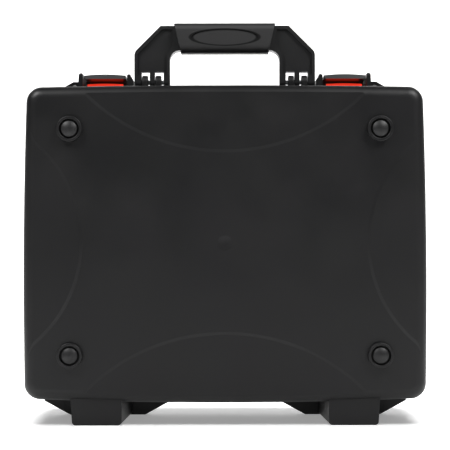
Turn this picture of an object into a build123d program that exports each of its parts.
from build123d import *
import math
import os

# A hard plastic carrying case for a stage laser, stored upright on its hinge side.
# All sizes are millimetres. X runs across the case, Y from the base's outer face to the lid,
# Z up. The origin is under the middle of the case, on the surface that it stands on.

# Case body
body_width = 421.0          # across the sides, just behind the rounded face edge
body_height = 331.8         # hinge side to handle side, at the same depth
body_bottom = 22.9          # the underside of the body above the floor
base_depth = 104.0          # outer face of the base to the parting line
lid_depth = 61.2            # parting line to the outer face of the lid
wall = 3.2
draft_angle = 2.5
corner_radius = 16.5
face_radius = 12.5          # rounding from the faces to the sides
side_bulge_top = 3.75       # the four sides are slightly convex
side_bulge_bottom = 0.8
top_bulge = 2.1
bottom_bulge = 4.4

# Rim, where base and lid meet
rim_proud = 5.0
rim_height = 8.0
rim_chamfer = 1.2
parting_gap = 0.3
tongue_width = 1.8
tongue_height = 2.3
groove_width = 3.8
groove_depth = 4.5
groove_centre = 1.0         # middle of the groove, outside the body's outer wall line
gasket_side_gap = 0.2
gasket_tongue_gap = 0.3
rim_rib_thickness = 2.4
rim_rib_length = 11.0
rim_rib_pitch = 52.0
rim_rib_count = 5           # on each of the two short sides

# Fields behind shallow arcs on the outer faces: recessed above and below, raised at the sides
field_step = 0.8
field_slope = 3.3           # width of the sloped edge between two fields
arc_top_inset = 73.0        # from the body's top and bottom to the nearest point of the arc
arc_side_inset = 63.1
arc_top_radius = 207.5
arc_side_radius = 137.5
pattern_rise = 1.7          # centre of the pattern above the body's middle
gate_drop = 1.2             # the gate's dimple below the centre of the pattern
gate_radius = 8.0
gate_depth = 0.7
gate_nub_radius = 1.5
gate_nub_height = 0.5

# Feet on the base's face
foot_proud = 7.0
foot_side_inset = 49.5      # the body's side to the foot's centre
foot_end_inset = 48.5
ring_inner_radius = 10.25
ring_width = 3.0
ring_proud = 5.2
ring_rounding = 0.8
plug_radius = 8.1
plug_dome = 2.5
plug_flange_gap = 0.25      # between the plug's flange and its ring
plug_flange_thickness = 1.2
plug_stem_radius = 2.9
plug_stem_length = 2.2
plug_stem_clearance = 0.1

# Blocks that the case stands on
block_side_inset = 75.85    # the body's side to the block's middle
block_half = 26.85
block_lean = 2.0            # how far the outer side leans in at the floor
block_flare = 5.0           # how much each half grows towards the parting line
block_setback = 5.0         # block's front behind the face
block_rounding = 4.0
block_wall = 3.0
lid_block_half = 23.5
lid_block_front = 13.5      # from the parting line
lid_block_setback = 6.0     # from the lid's face

# Hinges
hinge_height = 6.5
hinge_knuckle_radius = 6.0
hinge_pin_radius = 2.0
hinge_pin_length = 71.0
hinge_pin_inward = 2.1      # middle of the pin, nearer the case's middle than the block's
hinge_knuckle_width = 13.5
hinge_end_gap = 0.4
hinge_pocket_clearance = 0.6
shaft_clearance = 0.05
housing_depth = 12.0        # the housing's front, before the parting line
housing_reach_in = 43.9     # from the pin's middle to the ends of the housing's underside
housing_reach_out = 39.2
housing_slope = 1.855       # sideways for each millimetre up
housing_overlap = 1.0       # how far the housing runs up into the body
housing_side_inset = 10.0
hinge_arm_thickness = 5.6

# Handle
handle_setback = 16.0       # the handle's middle before the parting line
handle_side_gap = 1.1       # between the handle's leg and the latch beside it
handle_leg_width = 39.0
handle_thickness = 13.6
handle_rise = 74.55         # the handle's top above the body
handle_bar_height = 27.15
handle_chamfer = 28.9       # cut off each outer top corner
handle_outer_rounding = 9.0
handle_inner_rounding = 11.0
handle_flange = 3.3
handle_web_recess = 2.4
handle_web_start = 7.8      # the web's lower end above the pivot
pivot_rise = 12.75          # the pivot above the body
pivot_pin_radius = 2.5
pivot_pin_end_gap = 1.0
slot_height = 11.1          # the slots' upper ends above the pivot
slot_outer_in = 7.8         # from the leg's outer side to the first slot
slot_outer_width = 9.2
slot_inner_in = 22.4
slot_inner_width = 9.8
lug_width = 6.4
lug_side_gap = 0.7
lug_radius = 7.7
lug_rounding = 1.4
grip_end_gap = 4.45         # from the leg to the grip's upper end
grip_end_slant = 7.8
grip_proud_top = 3.15       # how far the grip stands proud of the bar
grip_proud_bottom = 3.15
grip_thickness = 24.0
grip_rounding = 8.5
grip_end_rounding = 1.0
core_thickness = 10.0
core_height = 18.0
oval_end_inset = 11.4       # from the grip's lower end to the oval
oval_half_height = 9.0
oval_depth = 1.0
oval_height_above_middle = 0.3

# Latches
latch_side_inset = 78.6     # the body's side to the latch's middle
lever_width = 45.6
lever_reach = 25.5          # the lever's front end before the parting line
lever_rise = 21.1           # the lever's top above the body
lever_crown = 1.4
lever_plate = 3.4
lever_lip = 0.5             # how far the front lip hangs below the plate
lever_lip_thickness = 3.5
lever_lean = 2.6            # the front end leans back, so that it faces slightly up
lever_corner = 2.2
lever_cheek = 4.2
lever_cheek_front = 5.4     # before the claw's pivot
lever_pivot_setback = 16.5  # behind the parting line
lever_pivot_rise = 13.75
lever_pivot_radius = 5.0
lever_pin_radius = 2.0
claw_pivot_setback = 4.5
claw_pivot_rise = 11.15
claw_pin_radius = 1.6
claw_barrel_radius = 2.8
claw_inset = 3.4            # the claw's sides inside the lever's
claw_side_gap = 0.3         # between the claw's neck and the lever's cheeks
claw_neck_length = 6.6
claw_plate = 2.4
claw_rise = 11.25
claw_crown = 0.7
claw_hook_thickness = 3.4
claw_hook_rise = 3.75       # the hook's lower edge above the body
claw_bore_clearance = 0.06
catch_rim_gap = 4.05        # from the catch to the rim behind it
catch_thickness = 4.0
catch_rise = 6.95
catch_gap = 0.3
ear_gap = 1.55              # channel wall to lever, each side
ear_thickness = 4.2
ear_foot = 1.35             # how much the outer ear widens to its foot
ear_step = 1.4              # the inner ear is this much lower than the outer one
ear_rise = 22.85
ear_reach = 24.0            # the base's ears before the parting line
ear_slant = 3.5
ear_rounding = 2.0
ear_skirt = 2.8             # slanted skirt on the side that faces the handle
lid_ear_length = 25.5
channel_cut = 1.25
wing_length = 18.0          # from the ear's outer side to the tab's foot
wing_shoulder_length = 7.95
wing_rise = 14.75
padlock_radius = 2.6
padlock_from_ear = 6.35
padlock_rise = 8.75

# Pressure valve between the handle's legs
valve_setback = 21.5       # before the parting line
valve_cap_radius = 11.0
valve_cap_height = 2.5
valve_stem_radius = 6.0
valve_stem_length = 12.6
valve_hole_clearance = 0.2
valve_pad_radius = 12.5
valve_pad_rise = 0.6
valve_inner_pad = 0.9
valve_seal_thickness = 1.0
valve_seal_radius = 10.0
valve_nut_radius = 11.0
valve_nut_height = 4.5
valve_grip_count = 12
valve_grip_radius = 1.1

# Foam
foam_gap = 0.5
foam_pad_thickness = 18.0
foam_layer_gap = 0.3
foam_below_rim = 4.0
lid_foam_clear = 5.0        # lid foam's surface behind the parting line
pocket_corner = 12.0
pocket_side_margin = 36.0   # from the body's sides to the pockets
pocket_bottom_margin = 39.0
pocket_top_margin = 58.0
cable_pocket_width = 66.0
pocket_bridge = 20.0        # foam left between the two pockets
valve_notch_half = 15.0
valve_notch_depth = 8.0

# Places that follow from the sizes above
case_depth = foot_proud + base_depth + lid_depth + field_step
face_y = foot_proud - case_depth / 2
parting_y = face_y + base_depth
lid_face_y = parting_y + lid_depth
base_rim_y = parting_y - parting_gap / 2
lid_rim_y = parting_y + parting_gap / 2
draft = math.tan(math.radians(draft_angle))
parting_growth = (base_depth - face_radius) * draft
half_width = body_width / 2
body_top = body_bottom + body_height
far = 20.0                  # how far a cutting shape runs past what it cuts

pattern_height = body_bottom + body_height / 2 + pattern_rise
arc_top_reach = body_height / 2 - arc_top_inset
arc_side_reach = half_width - arc_side_inset
foot_across = half_width - foot_side_inset
foot_rise = body_height / 2 - foot_end_inset
ring_outer_radius = ring_inner_radius + ring_width
plug_flange_radius = ring_inner_radius - plug_flange_gap

block_across = half_width - block_side_inset
hinge_pin_across = block_across - hinge_pin_inward
housing_bottom_in = hinge_pin_across - housing_reach_in
housing_bottom_out = hinge_pin_across + housing_reach_out
housing_top = body_bottom + housing_overlap
housing_side_limit = half_width - housing_side_inset

latch_across = half_width - latch_side_inset
channel_half = lever_width / 2 + ear_gap
ear_outer_side = latch_across + channel_half + ear_thickness
ear_inner_side = latch_across - channel_half - ear_thickness
wing_foot = ear_outer_side + wing_length
wing_shoulder = ear_outer_side + wing_shoulder_length
wing_top = body_top + wing_rise
padlock_across = ear_outer_side + padlock_from_ear
padlock_height = body_top + padlock_rise
ear_top = body_top + ear_rise
ear_front_y = parting_y - ear_reach
lever_front_y = parting_y - lever_reach
lever_top = body_top + lever_rise
lever_pivot_y = parting_y + lever_pivot_setback
lever_pivot_height = body_top + lever_pivot_rise
claw_pivot_y = parting_y + claw_pivot_setback
claw_pivot_height = body_top + claw_pivot_rise
claw_width = lever_width - 2 * claw_inset
claw_neck_width = lever_width - 2 * (lever_cheek + claw_side_gap)
claw_top = body_top + claw_rise
claw_hook_bottom = body_top + claw_hook_rise
catch_front_y = base_rim_y - rim_height - catch_rim_gap - catch_thickness
catch_top = body_top + catch_rise

handle_y = parting_y - handle_setback
handle_half_width = ear_inner_side - ear_skirt - handle_side_gap
handle_top = body_top + handle_rise
handle_bar_bottom = handle_top - handle_bar_height
pivot_height = body_top + pivot_rise
handle_web_bottom = pivot_height + handle_web_start
slot_ceiling = pivot_height + slot_height
grip_half_top = handle_half_width - handle_leg_width - grip_end_gap
grip_half_bottom = grip_half_top - grip_end_slant
grip_top = handle_top + grip_proud_top
grip_bottom = handle_bar_bottom - grip_proud_bottom
oval_half_length = grip_half_bottom - oval_end_inset

valve_y = parting_y - valve_setback
pocket_left = pocket_side_margin - half_width
pocket_low = body_bottom + pocket_bottom_margin
pocket_height = body_height - pocket_bottom_margin - pocket_top_margin
pockets_width = body_width - 2 * pocket_side_margin
laser_pocket_width = pockets_width - pocket_bridge - cable_pocket_width


def base_growth(y):
    """How far the base's sides stand out at depth y because of the draft."""
    return (y - face_y - face_radius) * draft


def lid_growth(y):
    """The same for the lid, which narrows from the parting line to its face."""
    return parting_growth - (y - parting_y) * draft


def across(y):
    """A drawing plane that faces the viewer: X to the right and Z up."""
    return Plane(origin=(0, y, 0), x_dir=(1, 0, 0), z_dir=(0, -1, 0))


def along(x):
    """A drawing plane seen from the side: Y to the right and Z up."""
    return Plane(origin=(x, 0, 0), x_dir=(0, 1, 0), z_dir=(1, 0, 0))


def prism(sketch, y0, y1):
    """A sketch of X and Z made solid from y0 to y1."""
    return extrude(across(y1) * sketch, amount=y1 - y0, dir=(0, -1, 0))


def plate(sketch, x0, x1):
    """A sketch of Y and Z made solid from x0 to x1."""
    return extrude(along(x0) * sketch, amount=x1 - x0, dir=(1, 0, 0))


def rod(x0, x1, y, z, radius):
    """A round bar along X."""
    return plate(Pos(y, z) * Circle(radius), x0, x1)


def shape(*points):
    """A straight-sided sketch through the given points."""
    return Polygon(*points, align=None)


def rectangle(left, low, right, high):
    return shape((left, low), (right, low), (right, high), (left, high))


def rounded(sketch, radius, keep):
    """Round the corners of a sketch that the test picks."""
    return fillet([v for v in sketch.vertices() if keep(v)], radius)


def outline(growth):
    """The case seen from its face: four convex sides and round corners."""
    half = half_width + growth
    low = body_bottom - growth
    high = body_top + growth
    middle = (low + high) / 2
    top_side = half - side_bulge_top
    floor_side = half - side_bulge_bottom
    floor_corner = low + bottom_bulge
    top_corner = high - top_bulge
    edges = [
        ThreePointArc((-floor_side, floor_corner), (0, low), (floor_side, floor_corner)),
        ThreePointArc((floor_side, floor_corner), (half, middle), (top_side, top_corner)),
        ThreePointArc((top_side, top_corner), (0, high), (-top_side, top_corner)),
        ThreePointArc((-top_side, top_corner), (-half, middle), (-floor_side, floor_corner)),
    ]
    face = make_face(edges)
    return fillet(face.vertices(), corner_radius + growth)


def slab(y0, growth0, y1, growth1):
    """The case's outline carried from one depth to another."""
    return loft([across(y0) * outline(growth0), across(y1) * outline(growth1)], ruled=True)


def tub(y_face, y_open, growth, inset):
    """A drafted block of the case's outline whose face edge is rounded."""
    block = slab(y_face, growth(y_face) - inset, y_open, growth(y_open) - inset)
    edge = block.edges().filter_by_position(Axis.Y, y_face - 0.01, y_face + 0.01)
    return fillet(edge, face_radius - wall if inset else face_radius)


def both(solid):
    """A solid and its mirror image on the other side of the case."""
    return solid + mirror(solid, about=Plane.YZ)


def field(x, z, radius, y_face, toward):
    """A round field with a sloped edge that starts at the face and steps toward one side."""
    behind = 1.0
    spread = field_slope / field_step * behind
    middle = y_face + toward * (field_step - behind) / 2
    plane = Plane(origin=(x, middle, z), z_dir=(0, toward, 0))
    return plane * Cone(radius + spread, radius - field_slope, field_step + behind)


def recessed_fields(y_face, inward):
    """The lens-shaped recesses along the face's upper and lower edge."""
    centre = arc_top_reach + arc_top_radius
    upper = field(0, pattern_height + centre, arc_top_radius, y_face, inward)
    return upper + field(0, pattern_height - centre, arc_top_radius, y_face, inward)


def raised_fields(y_face, y_open, growth, inward):
    """The lens-shaped fields along the face's sides, which stand a little proud."""
    centre = arc_side_reach + arc_side_radius
    lens = field(centre, pattern_height, arc_side_radius, y_face, -inward)
    return both(tub(y_face - inward * field_step, y_open, growth, 0) & lens)


def rim_band(y_rim, y_back, growth):
    """The flange round the opening, with its back edge chamfered."""
    lean = rim_chamfer if y_back < y_rim else -rim_chamfer
    outer = growth(y_rim) + rim_proud
    front = slab(y_rim, outer, y_back + lean, outer)
    back = slab(y_back + lean, outer, y_back, outer - rim_chamfer)
    return front + back


def rim_ribs(y_rim, toward_face, growth):
    """Thin ribs that brace the rim against the two short sides."""
    ribs = None
    y_far = y_rim + toward_face * (rim_height + rim_rib_length)
    y_near = y_rim + toward_face * rim_height / 2
    side = half_width - side_bulge_top - wall / 2
    lip = half_width + growth(y_rim) + rim_proud - side_bulge_top - rim_chamfer
    outline_points = [(side, y_far), (side + wall / 2, y_far), (lip, y_near), (side, y_near)]
    for index in range(rim_rib_count):
        z = pattern_height + (index - (rim_rib_count - 1) / 2) * rim_rib_pitch
        flat = Plane.XY.offset(z - rim_rib_thickness / 2)
        rib = extrude(flat * shape(*outline_points), amount=rim_rib_thickness)
        ribs = rib if ribs is None else ribs + rib
    return both(ribs)


def block_section(y, half, inset):
    """A stand block cut across: straight top, leaning outer side, round lower corners."""
    low = inset
    reach = half - inset
    points = [
        (block_across - reach, low),
        (block_across + reach - block_lean, low),
        (block_across + reach, body_bottom + face_radius),
        (block_across - reach, body_bottom + face_radius),
    ]
    face = shape(*points)
    face = rounded(face, block_rounding - inset / 2, lambda v: v.Y < low + 1)
    return across(y) * face


def stand_block(y_front, y_back, flare, half, inset):
    """A hollow foot that grows towards the parting line."""
    front = block_section(y_front, half, inset)
    back = block_section(y_back, half + flare, inset)
    return loft([front, back], ruled=True)


def hinge_housing():
    """The sloped web that carries the base's hinge knuckles."""
    rise = housing_top
    corner = (housing_side_limit - housing_bottom_out) / housing_slope
    web = shape(
        (housing_bottom_in, 0),
        (housing_bottom_out, 0),
        (housing_side_limit, corner),
        (housing_side_limit, rise),
        (housing_bottom_in - rise * housing_slope, rise),
    )
    return prism(web, parting_y - housing_depth, base_rim_y)


def knuckle_places():
    """The ends of the three knuckles along the pin."""
    start = hinge_pin_across - hinge_pin_length / 2
    end = hinge_pin_across + hinge_pin_length / 2
    inner = start + hinge_knuckle_width
    outer = end - hinge_knuckle_width
    return start, inner, outer, end


def lid_hinge():
    """The lid's middle knuckle and its arm, on the right side."""
    start, inner, outer, end = knuckle_places()
    left = inner + hinge_end_gap
    right = outer - hinge_end_gap
    body = rod(left, right, parting_y, hinge_height, hinge_knuckle_radius)
    arm = rectangle(lid_rim_y, hinge_height, parting_y + hinge_arm_thickness, body_bottom)
    body += plate(arm, left, right)
    bore = hinge_pin_radius + shaft_clearance
    return body - rod(left, right, parting_y, hinge_height, bore)


def leg_slots():
    """The two slots of the right leg as pairs of X values, from the outside in."""
    outer = handle_half_width
    first = (outer - slot_outer_in - slot_outer_width, outer - slot_outer_in)
    second = (outer - slot_inner_in - slot_inner_width, outer - slot_inner_in)
    return [first, second]


def handle_lugs():
    """The lugs on the base that the handle turns on, on the right side."""
    body = None
    for left, right in leg_slots():
        lug_right = right - lug_side_gap
        lug_left = lug_right - lug_width
        round_top = Pos(handle_y, pivot_height) * Circle(lug_radius)
        root = body_top - wall / 2
        column = rectangle(handle_y - lug_radius, root, handle_y + lug_radius, pivot_height)
        lug = plate(round_top + column, lug_left, lug_right)
        lug = fillet(lug.edges().filter_by(GeomType.CIRCLE), lug_rounding)
        body = lug if body is None else body + lug
    bore = pivot_pin_radius + shaft_clearance
    return body - rod(0, handle_half_width, handle_y, pivot_height, bore)


def ear_pair(y0, y1, side_shape):
    """The two walls of a latch channel, on the right side."""
    root = body_top - wall / 2
    inner_top = ear_top - ear_step
    outer_ear = shape(
        (ear_outer_side - ear_thickness, root),
        (ear_outer_side + ear_foot, root),
        (ear_outer_side, ear_top),
        (ear_outer_side - ear_thickness, ear_top),
    )
    inner_ear = rectangle(ear_inner_side, root, ear_inner_side + ear_thickness, inner_top)
    outer_ear = rounded(outer_ear, ear_rounding, lambda v: v.Y > ear_top - 1)
    inner_ear = rounded(inner_ear, ear_rounding, lambda v: v.Y > inner_top - 1)
    skirt = shape(
        (ear_inner_side, root),
        (ear_inner_side, inner_top - ear_slant),
        (ear_inner_side - ear_skirt, wing_top),
        (ear_inner_side - ear_skirt, root),
    )
    ears = prism(outer_ear + inner_ear + skirt, y0, y1)
    reach = plate(side_shape, 0, wing_foot)
    return ears & reach


def base_ears():
    """Channel walls of the base, slanted at their front."""
    front = ear_front_y
    side_shape = shape(
        (front, body_bottom),
        (front, ear_top - ear_slant),
        (front + ear_slant, ear_top),
        (base_rim_y, ear_top),
        (base_rim_y, body_bottom),
    )
    return ear_pair(front, base_rim_y, side_shape)


def lid_ears():
    """Channel walls of the lid, which carry the lever's pin."""
    back = lid_rim_y + lid_ear_length
    side_shape = shape(
        (lid_rim_y, body_bottom),
        (lid_rim_y, ear_top),
        (back - 2 * ear_slant, ear_top),
        (back, ear_top - 2 * ear_slant),
        (back, body_bottom),
    )
    ears = ear_pair(lid_rim_y, back, side_shape)
    bore = lever_pin_radius + shaft_clearance
    return ears - rod(0, wing_foot, lever_pivot_y, lever_pivot_height, bore)


def padlock_wing(y0, y1):
    """The sloped tab beside a latch, on the right side."""
    root = body_top - wall / 2
    ear = ear_outer_side - ear_thickness / 2
    tab = shape(
        (ear, root),
        (wing_foot, root),
        (wing_foot, body_top + parting_growth + rim_proud),
        (wing_shoulder, wing_top),
        (ear, wing_top),
    )
    return prism(tab, y0, y1)


def padlock_bore(y0, y1):
    """The hole that a padlock's shackle goes through."""
    hole = Pos(padlock_across, padlock_height) * Circle(padlock_radius)
    return prism(hole, y0, y1)


def channel_room(y0, y1):
    """What is taken off the rim so that the claw and the lever clear it."""
    low = body_top + parting_growth + rim_proud - channel_cut
    left = latch_across - channel_half
    return prism(rectangle(left, low, latch_across + channel_half, ear_top), y0, y1)


def catch_rib():
    """The ridge that the claw hooks behind."""
    half = claw_width / 2
    root = body_top - wall / 2
    rib = rectangle(latch_across - half, root, latch_across + half, catch_top)
    return prism(rib, catch_front_y, catch_front_y + catch_thickness)


def valve_seat_height():
    """The flat top of the valve's pad."""
    return body_top + base_growth(valve_y) + valve_pad_rise


def foot_places():
    """Where the four feet stand on the base's face, with their names."""
    high = pattern_height + foot_rise
    low = pattern_height - foot_rise
    return [
        ("upper_left", -foot_across, high),
        ("upper_right", foot_across, high),
        ("lower_left", -foot_across, low),
        ("lower_right", foot_across, low),
    ]


def base_shell():
    """The deep half of the case, with everything moulded on it."""
    body = tub(face_y, base_rim_y, base_growth, 0) - recessed_fields(face_y, 1)
    body += raised_fields(face_y, base_rim_y, base_growth, 1)
    body += rim_band(base_rim_y, base_rim_y - rim_height, base_growth)
    body += rim_ribs(base_rim_y, -1, base_growth)
    block_front = face_y + block_setback
    block_back = parting_y - housing_depth + wall
    body += both(stand_block(block_front, block_back, block_flare, block_half, 0))
    body += both(base_ears() + catch_rib() + padlock_wing(base_rim_y - rim_height, base_rim_y))
    seat = valve_seat_height()
    pad = Cylinder(valve_pad_radius, seat - body_top + wall / 2)
    body += Pos(0, valve_y, (seat + body_top - wall / 2) / 2) * pad
    body += both(base_hinge_solid())
    inner = tub(face_y + wall, parting_y + far, base_growth, wall)
    body -= inner
    body += both(handle_lugs() - inner)
    core_front = block_front + block_wall
    core_back = parting_y - housing_depth - block_wall + wall
    body -= both(stand_block(core_front, core_back, block_flare, block_half, block_wall))
    body = body + valve_inner_pad_solid()
    body -= Pos(0, valve_y, body_top) * Cylinder(valve_stem_radius + valve_hole_clearance, far)
    body -= both(channel_room(base_rim_y - rim_height - 1, base_rim_y))
    body -= both(padlock_bore(base_rim_y - rim_height - 1, base_rim_y + 1))
    body -= both(hinge_cut())
    body += base_tongue()
    for name, x, z in foot_places():
        ring = Pos(x, z) * (Circle(ring_outer_radius) - Circle(ring_inner_radius))
        solid = prism(ring, face_y - ring_proud, face_y + field_step)
        edges = solid.edges().filter_by_position(Axis.Y, face_y - ring_proud - 0.01,
                                                 face_y - ring_proud + 0.01)
        body += fillet(edges, ring_rounding)
        hole = Pos(x, z) * Circle(plug_stem_radius + plug_stem_clearance)
        body -= prism(hole, face_y - 1, face_y + plug_stem_length + plug_stem_clearance)
    return body - gate_dish() + gate_nub()


def base_hinge_solid():
    """The hinge's own material, before the pin bores are cut."""
    start, inner, outer, end = knuckle_places()
    body = hinge_housing()
    body += rod(start - hinge_end_gap, inner, parting_y, hinge_height, hinge_knuckle_radius)
    body += rod(outer, end + hinge_end_gap, parting_y, hinge_height, hinge_knuckle_radius)
    return body


def hinge_cut():
    """The pocket for the lid's knuckle and the bore for the pin."""
    start, inner, outer, end = knuckle_places()
    pocket = hinge_knuckle_radius + hinge_pocket_clearance
    bore = hinge_pin_radius + shaft_clearance
    cut = rod(inner, outer, parting_y, hinge_height, pocket)
    return cut + rod(start, housing_side_limit, parting_y, hinge_height, bore)


def valve_inner_pad_solid():
    """A flat seat inside the wall for the valve's nut."""
    inner_wall = body_top + base_growth(valve_y) - wall
    low = inner_wall - valve_inner_pad
    high = inner_wall + wall / 2
    return Pos(0, valve_y, (low + high) / 2) * Cylinder(valve_pad_radius, high - low)


def ring_between(y0, y1, inner_growth, outer_growth):
    """A band that follows the case's outline."""
    outer = slab(y0, outer_growth, y1, outer_growth)
    return outer - slab(y0 - 1, inner_growth, y1 + 1, inner_growth)


def base_tongue():
    """The ridge on the base's rim that presses into the gasket."""
    middle = parting_growth + groove_centre
    low = middle - tongue_width / 2
    high = middle + tongue_width / 2
    return ring_between(base_rim_y - rim_chamfer, base_rim_y + tongue_height, low, high)


def gate_dish():
    """The round dimple that moulding leaves in the middle of the face."""
    radius = (gate_radius ** 2 + gate_depth ** 2) / (2 * gate_depth)
    return Pos(0, face_y + gate_depth - radius, pattern_height - gate_drop) * Sphere(radius)


def gate_nub():
    nub = Pos(0, pattern_height - gate_drop) * Circle(gate_nub_radius)
    bottom = face_y + gate_depth
    return prism(nub, bottom - gate_nub_height, bottom + 1)


def lid_shell():
    """The shallow half of the case."""
    body = tub(lid_face_y, lid_rim_y, lid_growth, 0) - recessed_fields(lid_face_y, -1)
    body += raised_fields(lid_face_y, lid_rim_y, lid_growth, -1)
    body += rim_band(lid_rim_y, lid_rim_y + rim_height, lid_growth)
    body += rim_ribs(lid_rim_y, 1, lid_growth)
    block_front = parting_y + lid_block_front
    block_back = lid_face_y - lid_block_setback
    body += both(stand_block(block_front, block_back, -1, lid_block_half, 0))
    body += both(lid_ears() + padlock_wing(lid_rim_y, lid_rim_y + rim_height))
    body += both(lid_hinge())
    body -= tub(lid_face_y - wall, parting_y - far, lid_growth, wall)
    body -= both(stand_block(block_front + block_wall, block_back - block_wall, -1,
                             lid_block_half, block_wall))
    body -= both(channel_room(lid_rim_y, lid_rim_y + rim_height + 1))
    body -= both(padlock_bore(lid_rim_y - 1, lid_rim_y + rim_height + 1))
    middle = parting_growth + groove_centre
    groove = ring_between(lid_rim_y - 1, lid_rim_y + groove_depth, middle - groove_width / 2,
                          middle + groove_width / 2)
    return body - groove


def lid_gasket():
    """The soft ring in the lid's groove."""
    middle = parting_growth + groove_centre
    half = groove_width / 2 - gasket_side_gap
    front = base_rim_y + tongue_height + gasket_tongue_gap
    return ring_between(front, lid_rim_y + groove_depth, middle - half, middle + half)


def foot_plug(x, z):
    """A domed rubber plug pushed into a foot ring."""
    tip = face_y - foot_proud
    shoulder = tip + plug_dome
    ball = (plug_radius ** 2 + plug_dome ** 2) / (2 * plug_dome)
    body = prism(Pos(x, z) * Circle(plug_radius), tip, face_y)
    body = body & (Pos(x, tip + ball, z) * Sphere(ball))
    body += prism(Pos(x, z) * Circle(plug_radius), shoulder, face_y)
    body += prism(Pos(x, z) * Circle(plug_flange_radius), face_y - plug_flange_thickness, face_y)
    return body + prism(Pos(x, z) * Circle(plug_stem_radius), face_y, face_y + plug_stem_length)


def hinge_pin():
    start, inner, outer, end = knuckle_places()
    return rod(start, end, parting_y, hinge_height, hinge_pin_radius)


def handle_pin():
    inner = handle_half_width - handle_leg_width + pivot_pin_end_gap
    outer = handle_half_width - pivot_pin_end_gap
    return rod(inner, outer, handle_y, pivot_height, pivot_pin_radius)


def handle_outline():
    """The handle seen from the front, down to the pivot."""
    half = handle_half_width
    points = [
        (half, pivot_height),
        (half, handle_top - handle_chamfer),
        (half - handle_chamfer, handle_top),
        (handle_chamfer - half, handle_top),
        (-half, handle_top - handle_chamfer),
        (-half, pivot_height),
    ]
    return rounded(shape(*points), handle_outer_rounding,
                   lambda v: handle_bar_bottom - handle_chamfer < v.Y < handle_top - 1)


def finger_gap():
    """The opening that the hand goes through."""
    half = handle_half_width - handle_leg_width
    low = pivot_height - 2 * handle_thickness
    gap = rectangle(-half, low, half, handle_bar_bottom)
    return rounded(gap, handle_inner_rounding, lambda v: v.Y > low + 1)


def web_pocket():
    """The shallow recess inside the flange of the right leg."""
    outer = handle_half_width - handle_flange
    inner = handle_half_width - handle_leg_width + handle_flange
    top = handle_top - handle_flange
    lean = handle_chamfer - handle_flange * (math.sqrt(2) - 1)
    points = [
        (inner, handle_web_bottom),
        (outer, handle_web_bottom),
        (outer, top - lean),
        (outer - lean, top),
        (grip_half_top + handle_flange / 2, top),
        (grip_half_top + handle_flange / 2, handle_bar_bottom + handle_inner_rounding / 2),
        (inner, handle_bar_bottom - handle_inner_rounding / 2),
    ]
    return shape(*points)


def handle_frame():
    """The rigid handle: two legs with fingers and the bar inside the grip."""
    front = handle_y - handle_thickness / 2
    back = handle_y + handle_thickness / 2
    body = prism(handle_outline() - finger_gap(), front, back)
    pocket = web_pocket()
    recess = prism(pocket, front - 1, front + handle_web_recess)
    recess += prism(pocket, back - handle_web_recess, back + 1)
    body -= both(recess)
    end = handle_thickness / 2
    leg_in = handle_half_width - handle_leg_width
    fingers = rod(leg_in, handle_half_width, handle_y, pivot_height, end)
    body += both(fingers)
    for left, right in leg_slots():
        slot = prism(rectangle(left, pivot_height - far, right, slot_ceiling), front - 1, back + 1)
        body -= both(slot)
    bore = pivot_pin_radius + shaft_clearance
    body -= both(rod(leg_in - 1, handle_half_width + 1, handle_y, pivot_height, bore))
    return body - grip_blank() + bar_core()


def grip_blank():
    """The space that the grip's outer form takes up."""
    low = handle_y - grip_thickness / 2
    high = handle_y + grip_thickness / 2
    profile = rectangle(low, grip_bottom, high, grip_top)
    profile = rounded(profile, grip_rounding, lambda v: True)
    bar = plate(profile, -grip_half_top, grip_half_top)
    ends = shape(
        (-grip_half_bottom, grip_bottom),
        (grip_half_bottom, grip_bottom),
        (grip_half_top, grip_top),
        (-grip_half_top, grip_top),
    )
    return bar & prism(ends, low - 1, high + 1)


def bar_core():
    """The bar that the grip is moulded round."""
    middle = (grip_top + grip_bottom) / 2
    half = core_height / 2
    core = rectangle(handle_y - core_thickness / 2, middle - half,
                     handle_y + core_thickness / 2, middle + half)
    return plate(core, -grip_half_top, grip_half_top)


def handle_grip():
    """The rubber grip with its slanted ends and an oval pressed into each side."""
    body = grip_blank()
    slanted = body.faces().sort_by(Axis.X)
    edges = slanted[0].edges() + slanted[-1].edges()
    body = fillet(edges, grip_end_rounding)
    middle = (grip_top + grip_bottom) / 2 + oval_height_above_middle
    oval = Pos(0, middle) * Ellipse(oval_half_length, oval_half_height)
    front = handle_y - grip_thickness / 2
    back = handle_y + grip_thickness / 2
    body -= prism(oval, front - 1, front + oval_depth)
    body -= prism(oval, back - oval_depth, back + 1)
    return body - bar_core()


def lever_plate_shape():
    """The lever's crowned plate seen from its front end."""
    half = lever_width / 2
    low = lever_top - lever_crown - lever_plate
    shoulder = lever_top - lever_crown
    left = latch_across - half
    right = latch_across + half
    edges = [
        Line((left, low), (right, low)),
        Line((right, low), (right, shoulder)),
        ThreePointArc((right, shoulder), (latch_across, lever_top), (left, shoulder)),
        Line((left, shoulder), (left, low)),
    ]
    return make_face(edges)


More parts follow.
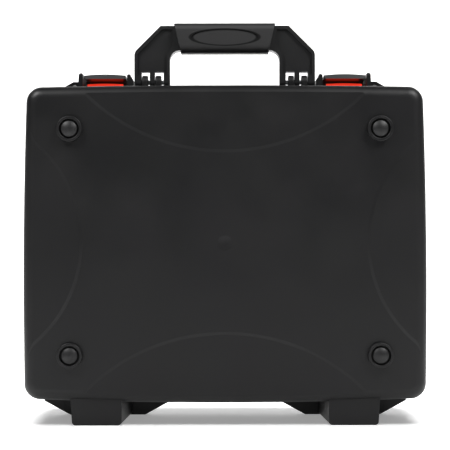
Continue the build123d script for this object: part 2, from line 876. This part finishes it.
def latch_lever():
    """The lever of the right latch: plate, front lip and two cheeks."""
    front = lever_front_y
    pivot_y = lever_pivot_y
    claw_y = claw_pivot_y
    half = lever_width / 2
    plate_low = lever_top - lever_crown - lever_plate
    body = prism(lever_plate_shape(), front, pivot_y)
    lip = rectangle(latch_across - half, plate_low - lever_lip, latch_across + half, plate_low)
    body += prism(lip, front, front + lever_lip_thickness)
    corners = body.edges().filter_by(Axis.Z).filter_by_position(Axis.Y, front - 0.01, front + 0.01)
    body = fillet(corners, lever_corner)
    low = plate_low - lever_lip
    lean = shape((front - 1, low), (front, low), (front + lever_lean, lever_top),
                 (front - 1, lever_top + 1))
    body -= plate(lean, latch_across - lever_width, latch_across + lever_width)
    barrel = Pos(pivot_y, lever_pivot_height) * Circle(lever_pivot_radius)
    barrel += rectangle(pivot_y - lever_pivot_radius, lever_pivot_height,
                        pivot_y + lever_pivot_radius, plate_low + lever_plate)
    body += plate(barrel, latch_across - half, latch_across + half)
    ring = claw_barrel_radius + shaft_clearance
    cheek = Pos(claw_y, claw_pivot_height) * Circle(ring)
    cheek += shape(
        (claw_y - lever_cheek_front, plate_low + lever_plate / 2),
        (claw_y - lever_cheek_front, claw_pivot_height),
        (claw_y - ring * 0.6, claw_pivot_height - ring * 0.8),
        (pivot_y, lever_pivot_height - lever_pivot_radius),
        (pivot_y, plate_low + lever_plate / 2),
    )
    body += plate(cheek, latch_across - half, latch_across - half + lever_cheek)
    body += plate(cheek, latch_across + half - lever_cheek, latch_across + half)
    lever_bore = lever_pin_radius + shaft_clearance
    body -= rod(0, wing_foot, pivot_y, lever_pivot_height, lever_bore)
    claw_bore = claw_pin_radius + shaft_clearance
    return body - rod(0, wing_foot, claw_y, claw_pivot_height, claw_bore)


def claw_front_shape():
    """The claw's front seen from the face side, with its crowned top."""
    half = claw_width / 2
    left = latch_across - half
    right = latch_across + half
    shoulder = claw_top - claw_crown
    edges = [
        Line((left, claw_hook_bottom), (right, claw_hook_bottom)),
        Line((right, claw_hook_bottom), (right, shoulder)),
        ThreePointArc((right, shoulder), (latch_across, claw_top), (left, shoulder)),
        Line((left, shoulder), (left, claw_hook_bottom)),
    ]
    return make_face(edges)


def latch_claw():
    """The red claw of the right latch."""
    claw_y = claw_pivot_y
    hook_back = catch_front_y - catch_gap
    hook_front = hook_back - claw_hook_thickness
    neck_front = claw_y - claw_neck_length
    plate_low = claw_top - claw_plate
    body = prism(claw_front_shape(), hook_front, neck_front)
    under = rectangle(hook_back, claw_hook_bottom - 1, neck_front + 1, plate_low)
    body -= plate(under, latch_across - claw_width, latch_across + claw_width)
    half = claw_neck_width / 2
    neck = Pos(claw_y, claw_pivot_height) * Circle(claw_barrel_radius)
    neck += rectangle(neck_front - 1, plate_low, claw_y, claw_top - claw_crown)
    body += plate(neck, latch_across - half, latch_across + half)
    bore = claw_pin_radius + claw_bore_clearance
    return body - rod(0, wing_foot, claw_y, claw_pivot_height, bore)


def latch_pin():
    half = channel_half + ear_thickness - pivot_pin_end_gap / 2
    return rod(latch_across - half, latch_across + half, lever_pivot_y, lever_pivot_height,
               lever_pin_radius)


def claw_pin():
    half = (lever_width - parting_gap) / 2
    return rod(latch_across - half, latch_across + half, claw_pivot_y, claw_pivot_height,
               claw_pin_radius)


def valve_cap():
    """The valve's cap with finger grooves, and its hollow stem through the wall."""
    low = valve_seat_height() + valve_seal_thickness
    high = low + valve_cap_height
    cap = Pos(0, valve_y, (low + high) / 2) * Cylinder(valve_cap_radius, high - low)
    top = cap.edges().filter_by_position(Axis.Z, high - 0.01, high + 0.01)
    cap = chamfer(top, valve_grip_radius)
    groove = Cylinder(valve_grip_radius, valve_cap_height + far)
    for index in range(valve_grip_count):
        angle = 360 / valve_grip_count * index
        place = Pos(0, valve_y, low) * Rot(0, 0, angle) * Pos(valve_cap_radius, 0, 0)
        cap -= place * groove
    stem_low = low - valve_stem_length
    stem = Pos(0, valve_y, (stem_low + low) / 2) * Cylinder(valve_stem_radius, low - stem_low)
    vent = Cylinder(valve_stem_radius / 2, valve_stem_length)
    return cap + stem - Pos(0, valve_y, stem_low + valve_stem_length / 2 - 1) * vent


def valve_seal():
    low = valve_seat_height()
    ring = Circle(valve_seal_radius) - Circle(valve_stem_radius + valve_hole_clearance)
    return Pos(0, valve_y, low) * extrude(ring, amount=valve_seal_thickness)


def valve_nut():
    inner_wall = body_top + base_growth(valve_y) - wall - valve_inner_pad
    hexagon = RegularPolygon(valve_nut_radius, 6) - Circle(valve_stem_radius + shaft_clearance)
    return Pos(0, valve_y, inner_wall - valve_nut_height) * extrude(hexagon, valve_nut_height)


def pocket(left, width, y0):
    """A round-cornered pocket cut from the foam's open side."""
    sketch = rectangle(left, pocket_low, left + width, pocket_low + pocket_height)
    return prism(rounded(sketch, pocket_corner, lambda v: True), y0, parting_y)


def base_foam_pad():
    """The flat layer against the base's face."""
    front = face_y + wall + foam_gap
    back = front + foam_pad_thickness
    return tub(front, back, base_growth, wall + foam_gap)


def base_foam_frame():
    """The thick layer with the laser's pocket and the cable's pocket."""
    front = face_y + wall + foam_gap + foam_pad_thickness + foam_layer_gap
    back = base_rim_y - foam_below_rim
    inset = wall + foam_gap
    body = slab(front, base_growth(front) - inset, back, base_growth(back) - inset)
    body -= pocket(pocket_left, laser_pocket_width, front - 1)
    cable_left = pocket_left + laser_pocket_width + pocket_bridge
    body -= pocket(cable_left, cable_pocket_width, front - 1)
    notch_low = body_top - wall - valve_notch_depth
    notch = rectangle(valve_y - valve_notch_half, notch_low, parting_y, body_top + far)
    return body - plate(notch, -valve_notch_half, valve_notch_half)


def lid_foam():
    """The soft layer that holds the laser down from above."""
    back = lid_face_y - wall - foam_gap
    front = lid_rim_y + lid_foam_clear
    return tub(back, front, lid_growth, wall + foam_gap)


def mirrored(solid):
    return mirror(solid, about=Plane.YZ)


def all_parts():
    parts = {
        "base_shell": base_shell(),
        "lid_shell": lid_shell(),
        "lid_gasket": lid_gasket(),
        "handle_frame": handle_frame(),
        "handle_grip": handle_grip(),
        "valve_cap": valve_cap(),
        "valve_seal": valve_seal(),
        "valve_nut": valve_nut(),
        "base_foam_pad": base_foam_pad(),
        "base_foam_frame": base_foam_frame(),
        "lid_foam": lid_foam(),
    }
    for name, x, z in foot_places():
        parts["foot_plug_" + name] = foot_plug(x, z)
    pairs = {
        "hinge_pin": hinge_pin(),
        "handle_pin": handle_pin(),
        "latch_lever": latch_lever(),
        "latch_claw": latch_claw(),
        "latch_pin": latch_pin(),
        "claw_pin": claw_pin(),
    }
    for name, solid in pairs.items():
        parts[name + "_right"] = solid
        parts[name + "_left"] = mirrored(solid)
    return parts


os.makedirs("parts", exist_ok=True)
for part_name, part_shape in all_parts().items():
    export_step(part_shape, "parts/" + part_name + ".step")
    print(part_name, round(part_shape.volume))
